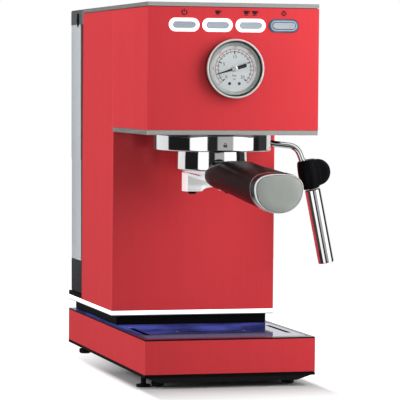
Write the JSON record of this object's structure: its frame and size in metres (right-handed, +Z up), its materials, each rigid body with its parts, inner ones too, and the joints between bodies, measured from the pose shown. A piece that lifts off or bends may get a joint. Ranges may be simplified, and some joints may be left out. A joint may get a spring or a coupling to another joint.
{
  "type": "espresso machine",
  "caption": "Slim countertop espresso machine with portafilter, steam wand, pressure gauge, push buttons, drip tray and rear water tank.",
  "frame": {"origin": "centre of the machine's footprint box on the worktop, steam wand and handle included; the centre plane of the casing is at x = -0.0220 m", "axes": "+Z up, the machine faces -Y (handle towards -Y, water tank at +Y), steam wand on the +X side"},
  "size_m": [0.196, 0.3997, 0.3235],
  "materials": {
    "red_panel": "satin lacquer over fine vertical brushing",
    "satin_silver": "satin",
    "chrome": "polished",
    "black_plastic": "fine texture",
    "gloss_black": "gloss",
    "light_guide": "frosted, lit from inside",
    "button_light": "frosted, lit from inside",
    "button_face": "satin",
    "rubber": "matt",
    "polished_plate": "mirror polished",
    "steel": "plain",
    "cast_aluminium": "as cast",
    "brass": "plain",
    "pump_plastic": "plain",
    "silicone": "matt",
    "circuit_board": "solder resist",
    "gauge_glass": "clear",
    "dial_white": "matt print",
    "needle_black": "matt",
    "handle_plastic": "satin, moulded",
    "cap_insert": "satin",
    "clear_tank": "smoke tint",
    "smoke_lid": "dark smoke"
  },
  "bodies": {
    "machine": {"base_pan": "black_plastic", "base_panels": "red_panel", "base_deck": "gloss_black", "base_chassis": "steel", "rubber_feet": "rubber", "neck_housing": "black_plastic", "led_light_guide": "light_guide", "column_floor": "black_plastic", "column_wrap": "red_panel", "column_rear_wall": "black_plastic", "head_front_panel": "red_panel", "head_side_panels": "red_panel", "head_bottom_trim": "satin_silver", "head_floor_plate": "black_plastic", "top_cap": "satin_silver", "inner_frame": "steel", "gauge_bezel": "chrome", "gauge_case": "steel", "gauge_dial": "dial_white", "gauge_glass": "gauge_glass", "gauge_movement": "brass", "button_light_rings": "button_light", "button_board": "circuit_board", "group_collar": "chrome", "group_head": "cast_aluminium", "group_gasket": "rubber", "shower_screen": "steel", "thermoblock": "cast_aluminium", "steam_valve_body": "brass", "pump_body": "pump_plastic", "pump_coil": "pump_plastic", "pump_mounts": "rubber", "hoses": "silicone", "control_board": "circuit_board", "cord_gland": "rubber", "machine_screws": "steel"},
    "gauge_needle": {"gauge_needle": "needle_black"},
    "power_button": {"power_button": "button_face"},
    "single_cup_button": {"single_cup_button": "button_face"},
    "double_cup_button": {"double_cup_button": "button_face"},
    "steam_button": {"steam_button": "button_face"},
    "steam_knob": {"steam_knob": "gloss_black"},
    "steam_wand": {"steam_pipe": "chrome", "wand_grip": "black_plastic"},
    "wand_sleeve": {"wand_sleeve": "chrome"},
    "portafilter": {"portafilter_body": "chrome", "filter_basket": "steel", "basket_clip": "steel", "double_spout": "chrome", "handle_grip": "handle_plastic", "handle_end_ring": "chrome", "handle_end_cap": "cap_insert"},
    "basket_latch": {"basket_latch": "black_plastic"},
    "drip_tray": {"drip_tray": "gloss_black", "tray_front_panel": "red_panel"},
    "drip_grid": {"drip_grid": "polished_plate"},
    "water_tank": {"water_tank": "clear_tank"},
    "tank_lid": {"tank_lid": "smoke_lid", "lid_clips": "black_plastic"},
    "pump_piston": {"pump_piston": "steel"}
  },
  "joints": [
    {"name": "needle_swing", "type": "hinge", "parent": "machine", "child": "gauge_needle", "pos_m": [-0.02203, -0.10544, 0.2685], "axis": [0, 1, 0], "range_deg": [-28, 242], "stiffness_Nm_per_rad": 0.0002},
    {"name": "power_press", "type": "slide", "parent": "machine", "child": "power_button", "axis": [0, 1, 0], "range_m": [0, 0.0015], "stiffness_N_per_m": 300},
    {"name": "single_cup_press", "type": "slide", "parent": "machine", "child": "single_cup_button", "axis": [0, 1, 0], "range_m": [0, 0.0015], "stiffness_N_per_m": 300},
    {"name": "double_cup_press", "type": "slide", "parent": "machine", "child": "double_cup_button", "axis": [0, 1, 0], "range_m": [0, 0.0015], "stiffness_N_per_m": 300},
    {"name": "steam_press", "type": "slide", "parent": "machine", "child": "steam_button", "axis": [0, 1, 0], "range_m": [0, 0.0015], "stiffness_N_per_m": 300},
    {"name": "steam_knob_turn", "type": "hinge", "parent": "machine", "child": "steam_knob", "pos_m": [0.05247, -0.01344, 0.25], "axis": [1, 0, 0], "range_deg": [0, 270]},
    {"name": "wand_swivel", "type": "hinge", "parent": "machine", "child": "steam_wand", "pos_m": [0.03397, -0.01344, 0.205], "axis": [0, 0, 1], "range_deg": [-80, 20]},
    {"name": "sleeve_pull", "type": "slide", "parent": "steam_wand", "child": "wand_sleeve", "axis": [0.2029, 0, -0.9792], "range_m": [0, 0.03]},
    {"name": "portafilter_turn", "type": "hinge", "parent": "machine", "child": "portafilter", "pos_m": [-0.02203, -0.03544, 0.2], "axis": [0, 0, 1], "range_deg": [-45, 5]},
    {"name": "latch_flip", "type": "hinge", "parent": "portafilter", "child": "basket_latch", "pos_m": [-0.02199, -0.08058, 0.189], "axis": [0.9969, 0.0785, 0], "range_deg": [0, 30]},
    {"name": "tray_slide", "type": "slide", "parent": "machine", "child": "drip_tray", "axis": [0, -1, 0], "range_m": [0, 0.14]},
    {"name": "grid_lift", "type": "slide", "parent": "drip_tray", "child": "drip_grid", "axis": [0, 0, 1], "range_m": [0, 0.05]},
    {"name": "tank_lift", "type": "slide", "parent": "machine", "child": "water_tank", "axis": [0, 0, 1], "range_m": [0, 0.26]},
    {"name": "lid_hinge", "type": "hinge", "parent": "water_tank", "child": "tank_lid", "pos_m": [-0.02203, 0.19686, 0.3116], "axis": [-1, 0, 0], "range_deg": [0, 105]},
    {"name": "piston_stroke", "type": "slide", "parent": "machine", "child": "pump_piston", "axis": [0, 0, 1], "range_m": [-0.003, 0.003], "stiffness_N_per_m": 4000}
  ]
}
